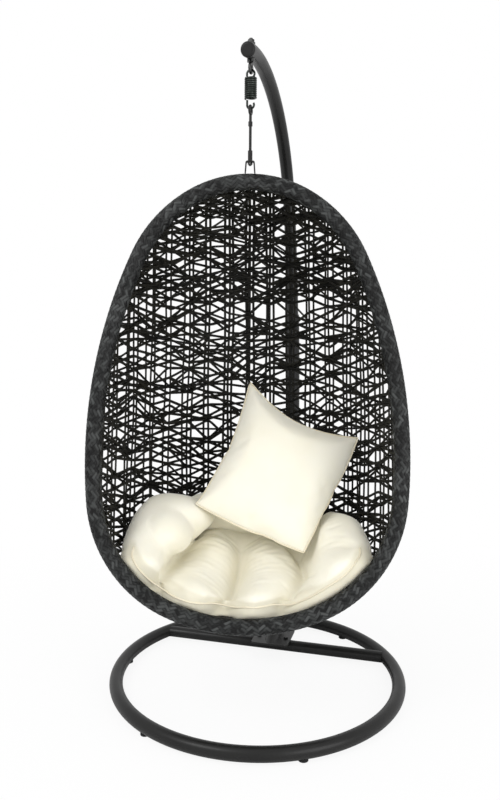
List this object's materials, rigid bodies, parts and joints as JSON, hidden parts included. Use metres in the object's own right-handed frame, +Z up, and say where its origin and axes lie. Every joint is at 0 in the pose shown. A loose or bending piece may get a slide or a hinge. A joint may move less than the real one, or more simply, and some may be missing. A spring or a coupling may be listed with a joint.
{
  "type": "hanging egg chair",
  "caption": "Woven egg-shaped hanging chair with seat cushion and throw pillow on a curved pole stand.",
  "frame": {"origin": "on the floor, in the middle of the chair's footprint box", "axes": "+Z up, the stand's open front towards -Y, the pole in the plane X = 0"},
  "size_m": [0.9489, 1.0324, 1.9516],
  "materials": {
    "black_paint": "satin",
    "steel": "satin",
    "zinc_spring": "satin",
    "cap_plastic": "matte",
    "glide_rubber": "matte",
    "wicker": "satin",
    "ivory_cloth": "matte"
  },
  "bodies": {
    "stand": {"base_ring": "black_paint", "ring_glides": "glide_rubber", "crossbar": "black_paint", "spine_tube": "black_paint", "foot_plate": "black_paint", "plate_bolts": "steel", "foot_gusset": "black_paint", "lower_pole": "black_paint", "upper_pole": "black_paint", "end_cap": "cap_plastic", "eye_bolt": "steel", "eye_collar": "steel", "top_washer": "steel", "top_nut": "steel"},
    "spring_upper": {"spring_top_hook": "zinc_spring", "spring_coil": "zinc_spring"},
    "spring_lower": {"spring_low_hook": "zinc_spring"},
    "rod": {"hanging_rod": "black_paint", "swivel_nut": "steel"},
    "basket": {"hanger_yoke": "black_paint", "rim_tube": "black_paint", "rim_wrap": "wicker", "weave_uprights": "wicker", "weave_rising": "wicker", "weave_falling": "wicker", "basket_ribs": "black_paint", "seat_cushion": "ivory_cloth", "throw_pillow": "ivory_cloth"}
  },
  "joints": [
    {"name": "swing_fore_aft", "type": "hinge", "parent": "stand", "child": "spring_upper", "pos_m": [0, -0.18175, 1.86686], "axis": [1, 0, 0], "range_deg": [-12, 8]},
    {"name": "spring_stretch", "type": "slide", "parent": "spring_upper", "child": "spring_lower", "axis": [0, 0, -1], "range_m": [0, 0.03], "stiffness_N_per_m": 30000, "springref_m": -0.0074, "deforming": ["spring_coil"]},
    {"name": "swing_side", "type": "hinge", "parent": "spring_lower", "child": "rod", "pos_m": [0, -0.18175, 1.76866], "axis": [0, 1, 0], "range_deg": [-10, 10]},
    {"name": "swivel", "type": "hinge", "parent": "rod", "child": "basket", "pos_m": [0, -0.18175, 1.61766], "axis": [0, 0, 1], "continuous": true}
  ]
}
